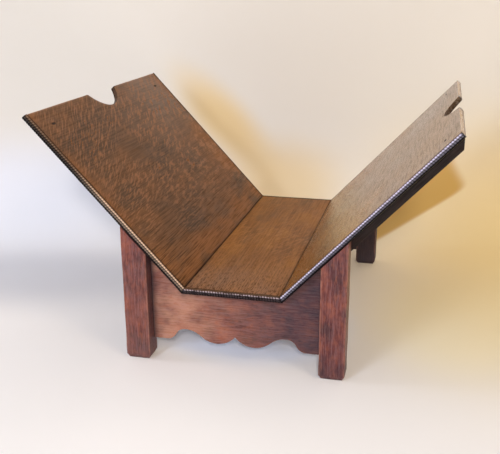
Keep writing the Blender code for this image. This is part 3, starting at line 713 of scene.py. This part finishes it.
def oak(name, wood, shift=(0, 0, 0), turn=None):
    """Oak under stain and wax.

    Across, along and through the grain are X, Y and Z of each piece's plank mark, or of its place
    turned so that the grain lies along Y. Growth lines are noise drawn out along the grain, pores are
    finer, shorter and darker, and ray flecks are short ribbons that follow the bent plank mark.
    Each layer of colour covers those before it by its patterns and marks times its depth.
    """
    material, put = new_material(name)

    def grain(pattern, way, detail, roughness=0.5):
        drawn_out = put("Mapping", {"Vector": way, "Scale": wood[pattern]})
        return put("TexNoise", {"Vector": drawn_out, "Scale": 1, "Detail": detail, "Roughness": roughness})

    marks = {mark: put("Attribute", attribute_name=mark, output="Fac") for mark in MARKS}
    if turn is None:
        ways = [put("Attribute", attribute_name=way, output="Vector") for way in ("plank", "rays")]
    else:
        ways = [put("Mapping", {"Vector": put("TexCoord", output="Object"), "Rotation": turn})] * 2
    plank, rays = (put("Mapping", {"Vector": way, "Location": shift}) for way in ways)
    clouds, lines = grain("clouds", plank, 4, 0.6), grain("lines", plank, 3, 0.65)

    # Ray flecks: ribbons whose place across wanders along the grain
    wander = put("Math", {0: grain("wander", rays, 1), 1: wood["wander_reach"], 2: -wood["wander_reach"] / 2},
                 operation="MULTIPLY_ADD")
    ribbons = put("VectorMath", {0: rays, 1: put("CombineXYZ", {"X": wander})}, operation="ADD")

    # Where each pattern begins to show and where it is full
    edges = {"fade_and_sheen": (grain("fading", plank, 3, 0.6), 0.25, 0.65), "handled": (clouds, 0.32, 0.55),
             "line": (lines, *wood["line_edge"]), "pale": (lines, 0.56, 0.3),
             "fleck": (grain("flecks", ribbons, 2.5, 0.6), *wood["fleck_edge"]),
             "figured": (grain("figured", plank, 1), 0.26, 0.52),
             "pore": (grain("pores", plank, 2), *wood["pore_edge"]), "pore_rows": (lines, 0.3, 0.55),
             "broken": (grain("wear", plank, 3), *wood["wear_edge"])}
    dirt_and_shade = marks["dirt_and_shade"]
    if wood["nails"]:
        # An iron stain 4 mm by 12 mm along the grain at each nail, mirrored at the other end of the board
        parts = put("SeparateXYZ", {"Vector": ways[0]}).node.outputs
        folded = put("Math", {0: parts["Y"]}, operation="ABSOLUTE")
        folded = put("Math", {0: folded, 1: STAIN_SHARE}, operation="MULTIPLY")
        folded = put("CombineXYZ", {"X": parts["X"], "Y": folded})
        away = put("VectorMath", {0: folded, 1: wood["nails"]}, operation="DISTANCE", output="Value")
        edges["stain"] = (away, *STAIN_EDGE)
    steps = {edge: put("MapRange", {"Value": value, "From Min": low, "From Max": high},
                       interpolation_type="SMOOTHSTEP") for edge, (value, low, high) in edges.items()}
    if wood["nails"]:
        dirt_and_shade = put("Math", {0: dirt_and_shade, 1: steps["stain"]}, operation="MAXIMUM")

    # The layers, from the first laid on to the last
    layers = {"fade_and_sheen": (marks["fade_and_sheen"], steps["fade_and_sheen"]), "handled": (marks["handled"], steps["handled"]),
              "line": (steps["line"],), "pale": (steps["pale"],),
              "fleck": (steps["fleck"], steps["figured"], marks["figured"]),
              "pore": (steps["pore"], marks["open_grain"], steps["pore_rows"]),
              "sawn": (marks["sawn"],), "darkening": (dirt_and_shade,), "wear_and_highlight": (marks["wear_and_highlight"], steps["broken"])}
    colour = put("ValToRGB", {"Fac": clouds}, stops=wood["tones"])
    bare, laid = {}, {}
    for layer, (share, *factors) in layers.items():
        for factor in factors:
            share = put("Math", {0: share, 1: factor}, operation="MULTIPLY")
        bare[layer] = share
        laid[layer] = put("Math", {0: share, 1: wood[f"{layer}_depth"]}, operation="MULTIPLY")
        colour = put("Mix", {0: laid[layer], 6: colour, 7: linear(wood[layer])}, output=2, data_type="RGBA")

    # Pores and saw marks are rougher than the wax, flecks a little smoother, and the darkening, which holds
    # dirt, stain and painted shade, changes it by its own amount
    gloss, height = wood["rough"] - 0.08, 0
    for value, share in ((clouds, 0.16), (bare["pore"], 0.2), (bare["sawn"], 0.2), (laid["fleck"], -0.08),
                         (laid["darkening"], wood["darkening_rough"])):
        gloss = put("Math", {0: value, 1: share, 2: gloss}, operation="MULTIPLY_ADD")
    for value, share in ((lines, 0.7), (bare["pore"], -1), (bare["fleck"], 0.25)):
        height = put("Math", {0: value, 1: share, 2: height}, operation="MULTIPLY_ADD")
    # The polish sinks into the open lines and pores
    sunk = put("Math", {0: steps["line"], 1: bare["pore"]}, operation="MAXIMUM")
    shine = wood["shine"]
    polish = put("Math", {0: sunk, 1: -wood["sunk"] * shine, 2: shine}, operation="MULTIPLY_ADD")
    relief = put("Bump", {"Height": height, "Strength": wood["relief"], "Distance": 0.0002})
    shader = put("BsdfPrincipled", {"Base Color": colour, "Roughness": gloss, "Normal": relief, "IOR": 1.5,
                                    "Specular IOR Level": polish})
    put("OutputMaterial", {"Surface": shader})
    return material


def blackened_steel():
    """Old wood-screw steel, turned and left to darken: near-black skin, brown rust where damp sat."""
    material, put = new_material("blackened_steel")
    place = put("TexCoord", output="Object")
    # Rust blooms about 1.5 mm across
    bloom = put("TexNoise", {"Vector": place, "Scale": 650, "Detail": 4, "Roughness": 0.65})
    colour = put("ValToRGB", {"Fac": bloom},
                 stops=[(0.3, "#120d0b"), (0.5, "#241a15"), (0.62, "#38231a"), (0.75, "#573420")])
    metal, rough = (put("MapRange", {"Value": bloom, "From Min": start, "From Max": finish,
                                     "To Min": bare, "To Max": rusted})
                    for start, finish, bare, rusted in ((0.5, 0.65, 0.6, 0.1), (0.3, 0.7, 0.48, 0.8)))
    relief = put("Bump", {"Height": bloom, "Strength": 0.4, "Distance": 0.0001})
    shader = put("BsdfPrincipled", {"Base Color": colour, "Metallic": metal, "Roughness": rough,
                                    "Normal": relief})
    put("OutputMaterial", {"Surface": shader})
    return material


# The iron stain round a nail: how much shorter it is across the grain than along it, and its edge
STAIN_SHARE = 0.33
STAIN_EDGE = (0.0032, 0.0014)
# Pattern scales are in repeats a metre, across, along and through the grain. On the boards growth
# lines lie about 3 mm apart and ray flecks are about 5 mm by 24 mm. Pores are really 0.3 mm wide,
# and are drawn up to 1.8 mm wide so that they show.
BOARD_OAK = {
    "clouds": (13, 6, 13),
    "tones": [(0.3, "#4f3825"), (0.45, "#5c412a"), (0.57, "#6a482b"), (0.72, "#7f532c")],
    "fading": (5, 3, 5), "fade_and_sheen": "#876f60", "fade_and_sheen_depth": 1,
    "lines": (360, 10, 120), "line_edge": (0.42, 0.7), "line": "#302015", "line_depth": 0.25,
    "pale": "#8c5e3a", "pale_depth": 0.3,
    "wander": (60, 45, 10), "wander_reach": 0.01,
    "flecks": (185, 42, 60), "fleck_edge": (0.48, 0.61), "fleck": "#a16c45", "fleck_depth": 0.7,
    "figured": (9, 7, 9),
    "pores": (600, 17, 300), "pore_edge": (0.47, 0.6), "pore": "#2c1c10", "pore_depth": 0.7,
    "handled": "#985d24", "handled_depth": 0.75, "sawn": "#302015", "sawn_depth": 0.5,
    "wear": (240, 90, 240), "wear_edge": (0.2, 0.52), "wear_and_highlight": "#c4a48c", "wear_and_highlight_depth": 0.8,
    "darkening": "#160c07", "darkening_depth": 0.9, "darkening_rough": 0.2,
    "nails": (SLOPE_LENGTH - NAIL_FROM_END, BATTEN_MIDDLE * STAIN_SHARE, 0),
    "rough": 0.34, "shine": 0.12, "sunk": 0.4, "relief": 0.35}
# The right board is the same oak with lighter, more golden tones, as a painted sheen for the low angle at
# which it catches the light, under a higher polish
RIGHT_BOARD_OAK = {
    **BOARD_OAK, "tones": [(0.3, "#6f4e30"), (0.45, "#805a33"), (0.57, "#906535"), (0.72, "#a0713b")],
    "lines": (300, 18, 120), "line_edge": (0.43, 0.6), "line_depth": 0.22,
    "pale": "#a67c4a", "pale_depth": 0.25, "fleck": "#a87a4c", "fleck_depth": 0.15,
    "pores": (560, 70, 300), "pore_depth": 0.5, "wear_and_highlight": "#d8ba96",
    "rough": 0.22, "shine": 1, "sunk": 0.85, "relief": 0.16}
CENTRE_OAK = {
    **BOARD_OAK, "tones": [(0.3, "#6c4419"), (0.45, "#7f4e1b"), (0.57, "#8e591f"), (0.72, "#9f6726")],
    "clouds": (24, 9, 11), "fade_and_sheen": "#957462", "fade_and_sheen_depth": 0.7, "handled_depth": 0.3,
    "line": "#503218", "line_depth": 0.3, "pale": "#a86f38", "fleck": "#aa7038", "fleck_depth": 0.6,
    "pores": (640, 90, 300), "pore": "#3a2212", "sawn": "#503218", "shine": 0.08, "nails": None}
FRAME_OAK = {
    **BOARD_OAK, "clouds": (46, 30, 46),
    "tones": [(0.34, "#452426"), (0.45, "#572d2e"), (0.56, "#6b3833"), (0.7, "#894a37")],
    "fading": (18, 14, 18), "fade_and_sheen": "#bd886f", "fade_and_sheen_depth": 0.8,
    "lines": (560, 30, 560), "line": "#2e1b1e", "line_depth": 0.22,
    # Pale lines of a bluish grey: a painted sheen of the cool light along the grain
    "pale": "#95767a", "pale_depth": 0.24,
    "wander": (30, 20, 30), "wander_reach": 0.006,
    "flecks": (200, 60, 200), "fleck_edge": (0.5, 0.68), "fleck": "#9a5438", "fleck_depth": 0.35,
    "figured": (16, 8, 16),
    "pores": (700, 160, 700), "pore_edge": (0.54, 0.68), "pore": "#220f12", "pore_depth": 0.2,
    "handled": "#8c4630", "handled_depth": 0.15, "sawn_depth": 0,
    # Its darkening, a bluish purple-black, serves dirt and painted shade alike; its paler worn arrises are
    # partly painted highlight
    "wear_edge": (0.3, 0.62), "wear_and_highlight": "#a87a68", "wear_and_highlight_depth": 0.35, "darkening": "#34303a",
    "nails": None, "rough": 0.38, "shine": 0.35, "sunk": 0.5, "relief": 0.2}
# Under the boards: unpolished oak whose near-black tones are painted shade
HIDDEN_OAK = {
    **FRAME_OAK, "tones": [(0.3, "#140c0b"), (0.5, "#1e1210"), (0.72, "#2b1915")], "line": "#100907",
    "pale": "#2e1c17", "darkening": "#0c0807", "rough": 0.6, "shine": 0.3}
# The flat of the moulding is board oak; its nose takes the darkening, ebonised dark, deep and glossy,
# and its crowns carry a painted highlight, tinted like the lamp that each moulding faces
ROPE_OAK = {
    **BOARD_OAK, "darkening": "#0d0809", "darkening_depth": 1, "darkening_rough": -0.12, "handled_depth": 0,
    "fleck_depth": 0.3, "wear_and_highlight": "#ffdfc6", "wear_and_highlight_depth": 1, "wear_edge": (0.12, 0.45),
    "relief": 0.1, "nails": None}
CENTRE_ROPE_OAK = {
    **ROPE_OAK, "wear_and_highlight": "#dcc6cc", "wear_and_highlight_depth": 0.9, "wear_edge": (0.28, 0.56), "darkening": "#160b0d"}
RIGHT_ROPE_OAK = {**ROPE_OAK, "wear_and_highlight": "#e6def8", "darkening": "#0a0608"}


def make_finishes():
    """The stand's finishes, each a real wood or metal in the way it was worked."""
    quarter = math.pi / 2
    return {
        # Fumed, quarter-sawn and waxed: brown ground, orange-brown silky flecks, a sheen at low angles
        "left_board": oak("fumed_quartered_oak_left", BOARD_OAK, (0.3, 0, 0)),
        "right_board": oak("fumed_quartered_oak_right", RIGHT_BOARD_OAK, (0.8, 0.4, 0)),
        "centre_board": oak("fumed_quartered_oak_centre", CENTRE_OAK, (0.5, 0.9, 0.3)),
        # Red-brown spirit stain under old shellac: purple-brown painted shade, pink-brown where it has faded
        # and where painted light falls
        "frame": oak("stained_shellacked_oak", FRAME_OAK),
        # The same stain with no polish, where no hand reaches, darkened to near black as painted shade
        "left_battens": oak("unpolished_oak_painted_shade_left", HIDDEN_OAK, (0.4, 0.3, 0), (0, -SLOPE_ANGLE, quarter)),
        "right_battens": oak("unpolished_oak_painted_shade_right", HIDDEN_OAK, (0.1, 0.6, 0), (0, SLOPE_ANGLE, quarter)),
        "bearers": oak("unpolished_oak_painted_shade_level", HIDDEN_OAK, (0.9, 0.2, 0), (0, 0, quarter)),
        # Carved oak, its nose ebonised and polished: almost black, with a highlight painted along its crowns
        "left_mouldings": oak("ebonised_carved_oak_left", ROPE_OAK, (0.6, 0.2, 0)),
        "centre_mouldings": oak("ebonised_carved_oak_centre", CENTRE_ROPE_OAK, (0.6, 0.2, 0)),
        "right_mouldings": oak("ebonised_carved_oak_right", RIGHT_ROPE_OAK, (0.6, 0.2, 0)),
        "steel": blackened_steel(),
    }


# The studio

# The sweep stands a little turned, square to the camera
SWEEP_TURN = math.radians(14)
SWEEP_START = 0.272
SWEEP_RADIUS = 0.18
SWEEP_HALF_WIDTH = 1.15
SWEEP_HEIGHT = 1.25
SWEEP_BEND_STEPS = 25
FLOOR_RADIUS = 16
FLOOR_STEPS = 96
# The paper's tone on the floor and up the wall, each with the tone that its fibre wanders to, and the
# height between which the one becomes the other
FLOOR_PAPER = ("#f7f5f6", "#f2f0f1")
WALL_PAPER = ("#e6e1da", "#e1dcd5")
WALL_BETWEEN = (0, 0.3)
# How far from the stand the floor and the sweep turn into their own pale colour
FLOOR_FADES = (1.2, 2.2)
SWEEP_FADES = (5, 6)
# Warm room light and cool shade on the paper round the stand: the middle of each, its turn, its reach
# each way, its colour, its depth, the share of its reach where it starts to fade, and how square it is
FLOOR_PATCHES = [
    ((0.34, -0.02, 0), (0, 0, 0), (0.22, 0.3, 0.1), "#fffae6", 1, 0.2, 1),
    ((0.56, 0.36, 0), (0, 0, 0), (0.74, 0.92, 0.44), "#efd8a2", 0.95, 0.1, 1),
    ((-0.8, 0.25, 0.5), (0, 0, 0), (0.62, 0.5, 0.5), "#d8d3cc", 0.7, 0.1, 1),
    ((-0.62, 0.2, 0.1), (0, 0, 0), (0.5, 0.4, 0.2), "#e0e3ee", 0.8, 0.1, 1),
    ((-0.5, 0.02, 0), (0, 0, 0.25), (0.6, 0.26, 0.15), "#c4c6d0", 0.7, 0.1, 1),
    ((0, -0.1, 0), (0, 0, 0), (0.2, 0.2, 0.1), "#e4ecff", 0.8, 0.5, 1)]
# On the sweep: painted shadows of the left and right boards, golden where the cool lamps are kept off
SWEEP_PATCHES = [
    ((-0.2, 0.41, 0.26), (0, 0.82, 0.24), (0.24, 0.3, 0.09), "#e6c88e", 0.8, 0.1, 1),
    ((-0.07, 0.43, 0.1), (0, 0, 0), (0.24, 0.3, 0.18), "#e8cc94", 0.7, 0.1, 1),
    ((0.226, 0.463, 0.084), (-0.554, -0.382, 0.654), (0.165, 0.25, 0.052), "#c79e4c", 0.85, 0.3, 3)]

# Cool window light from the left and front, a small lamp by the camera, and warm room light round
# the stand: each lamp's place, size, power and colour
LAMPS = {
    "side_window": ((-3.05, -0.5, 1.55), 1, 23, "#dbe8ff"),
    "front_window": ((-1.25, -3.1, 1.5), 0.9, 50, "#dbe8ff"),
    "camera_lamp": ((0.62, -2.6, 1.45), 0.22, 31, "#fff8ee"),
    "warm_room": ((1.9, -1.6, 2.1), 0.8, 13, "#ffe2b8"),
    "rear_fill": ((0.5, 2.8, 1.9), 1.6, 10, "#fff6ea")}
LAMPS_AIM = Vector((0, 0, 0.16))
ROOM_COLOUR, ROOM_STRENGTH = "#fff3e3", 0.46
# Overhead the backdrop is darker: how high its fading starts and ends, and what it fades to
BACKDROP_FADES, BACKDROP_ABOVE = (0.1, 0.5), 0.15

# The camera's place and its turns to the left, down from level and clockwise, fitted to the corners
# of the boards, and its focal length in pixels of a picture of this width
CAMERA_PLACE = (0.28572, -1.29935, 0.58112)
CAMERA_TURNS = ((0.2438, "Z"), (math.pi / 2 - 0.3152, "X"), (-0.0049, "Z"))
FOCAL_PIXELS, PICTURE_WIDTH = 764.84, 500
SENSOR_WIDTH = 36


def seen_itself(put):
    """1 where a ray from the camera, off gloss or through glass meets the surface, 0 where lamps light it."""
    paths = put("LightPath").node.outputs
    seen = put("Math", {0: paths["Is Camera Ray"], 1: paths["Is Glossy Ray"]}, operation="MAXIMUM")
    return put("Math", {0: seen, 1: paths["Is Transmission Ray"]}, operation="MAXIMUM")


def stage_material(name, fades, one_sided, patches):
    """Matt paper. Far from the stand it shows its own pale colour to the camera and in gloss."""
    material, put = new_material(name)
    place = put("TexCoord", output="Object")
    fibre = put("TexNoise", {"Vector": place, "Scale": 3, "Detail": 3})
    low, high = (put("Mix", {0: fibre, 6: linear(first), 7: linear(second)}, output=2, data_type="RGBA")
                 for first, second in (FLOOR_PAPER, WALL_PAPER))
    rise = put("SeparateXYZ", {"Vector": place}, output="Z")
    away = put("VectorMath", {0: place}, operation="LENGTH", output="Value")
    rise, away = (put("MapRange", {"Value": value, "From Min": start, "From Max": finish},
                      interpolation_type="SMOOTHSTEP")
                  for value, (start, finish) in ((rise, WALL_BETWEEN), (away, fades)))
    paper = put("Mix", {0: rise, 6: low, 7: high}, output=2, data_type="RGBA")
    # Painted pools of light and shade, and the painted shadows, each blended over the paper
    for middle, turn, reach, colour, depth, fades_from, squareness in patches:
        offset = put("Mapping", {"Vector": place, "Location": middle, "Rotation": turn, "Scale": reach},
                     vector_type="TEXTURE")
        offset = put("VectorMath", {0: offset}, operation="ABSOLUTE")
        for _ in range(squareness - 1):
            offset = put("VectorMath", {0: offset, 1: offset}, operation="MULTIPLY")
        distance = put("VectorMath", {0: offset}, operation="LENGTH", output="Value")
        share = put("MapRange", {"Value": distance, "From Min": fades_from, "From Max": 1, "To Min": depth,
                                 "To Max": 0}, interpolation_type="SMOOTHERSTEP")
        paper = put("Mix", {0: share, 6: paper, 7: linear(colour)}, output=2, data_type="RGBA")
    matt = put("BsdfDiffuse", {"Color": paper})
    pale = put("Emission", {"Color": linear(FLOOR_PAPER[0]), "Strength": 1})
    share = put("Math", {0: seen_itself(put), 1: away}, operation="MULTIPLY")
    surface = put("MixShader", {0: share, 1: matt, 2: pale})
    if one_sided:
        behind = put("NewGeometry", output="Backfacing")
        surface = put("MixShader", {0: behind, 1: surface, 2: put("BsdfTransparent")})
    put("OutputMaterial", {"Surface": surface})
    return material


def make_stage():
    """A wide floor, and a paper sweep that curves up behind the stand through a quarter circle."""
    angle = np.linspace(0, 2 * np.pi, FLOOR_STEPS, endpoint=False)
    floor = new_surface("studio_floor", turned(FLOOR_RADIUS, angle, 0), [list(range(FLOOR_STEPS))],
                        stage_material("matt_floor_paper", FLOOR_FADES, False, FLOOR_PATCHES))
    bend = np.linspace(0, np.pi / 2, SWEEP_BEND_STEPS)
    back = np.append(SWEEP_START + SWEEP_RADIUS * np.sin(bend), SWEEP_START + SWEEP_RADIUS)
    up = np.append(SWEEP_RADIUS * (1 - np.cos(bend)) + 0.0004, SWEEP_HEIGHT)
    wide = np.array([-SWEEP_HALF_WIDTH, SWEEP_HALF_WIDTH])[:, None]
    x = wide * math.cos(SWEEP_TURN) - back * math.sin(SWEEP_TURN)
    y = wide * math.sin(SWEEP_TURN) + back * math.cos(SWEEP_TURN)
    sweep = new_surface("studio_sweep", stacked(x, y, up), grid_quads(2, len(up)).tolist(),
                        stage_material("matt_sweep_paper", SWEEP_FADES, True, FLOOR_PATCHES + SWEEP_PATCHES))
    sweep.visible_shadow = False


def make_light():
    """Soft square lamps that look at the stand and that the camera doesn't see, in a plain pale room."""
    for name, (place, size, power, colour) in LAMPS.items():
        data = bpy.data.lights.new(name, "AREA")
        data.shape, data.size, data.energy = "SQUARE", size, power
        data.color = linear(colour)[:3]
        turn = (LAMPS_AIM - Vector(place)).to_track_quat("-Z", "Y").to_matrix().to_4x4()
        lamp = new_object(name, data)
        lamp.matrix_world = Matrix.Translation(place) @ turn
        lamp.visible_camera = False
    world = bpy.data.worlds.new("studio_room")
    bpy.context.scene.world = world
    world.use_nodes = True
    world.node_tree.nodes.clear()
    put = partial(add, world.node_tree)
    rise = put("SeparateXYZ", {"Vector": put("TexCoord", output="Generated")}, output="Z")
    height = put("MapRange", {"Value": rise, "From Min": BACKDROP_FADES[0], "From Max": BACKDROP_FADES[1],
                              "To Min": 1, "To Max": BACKDROP_ABOVE}, interpolation_type="SMOOTHSTEP")
    backdrop = put("Background", {"Color": linear(FLOOR_PAPER[0]), "Strength": height})
    room = put("Background", {"Color": linear(ROOM_COLOUR), "Strength": ROOM_STRENGTH})
    surface = put("MixShader", {0: seen_itself(put), 1: room, 2: backdrop})
    put("OutputWorld", {"Surface": surface})


def make_camera():
    """The camera at the photograph's place: a normal lens, looking down and a little to the left."""
    data = bpy.data.cameras.new("camera")
    data.sensor_width = SENSOR_WIDTH
    data.lens = FOCAL_PIXELS * SENSOR_WIDTH / PICTURE_WIDTH
    data.dof.use_dof = False
    camera = new_object("camera", data)
    camera.matrix_world = Matrix.Translation(CAMERA_PLACE)
    for angle, axis in CAMERA_TURNS:
        camera.matrix_world = camera.matrix_world @ Matrix.Rotation(angle, 4, axis)
    bpy.context.scene.camera = camera


def dress_stand():
    finishes = make_finishes()
    for side_name in SIDES:
        make_sloping_board(side_name, finishes[f"{side_name}_board"])
    make_centre_board(finishes["centre_board"])
    make_mouldings(finishes)
    for end_name in ENDS:
        make_apron(end_name, finishes["frame"])
        for side_name in SIDES:
            make_leg(end_name, side_name, finishes["frame"])
            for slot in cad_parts[f"{end_name}_{side_name}_batten"].material_slots:
                slot.material = finishes[f"{side_name}_battens"]
        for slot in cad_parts[f"{end_name}_bearer"].material_slots:
            slot.material = finishes["bearers"]
    make_fasteners(finishes["steel"])


make_camera()
dress_stand()
make_stage()
make_light()
bpy.context.scene.view_settings.view_transform = "Standard"
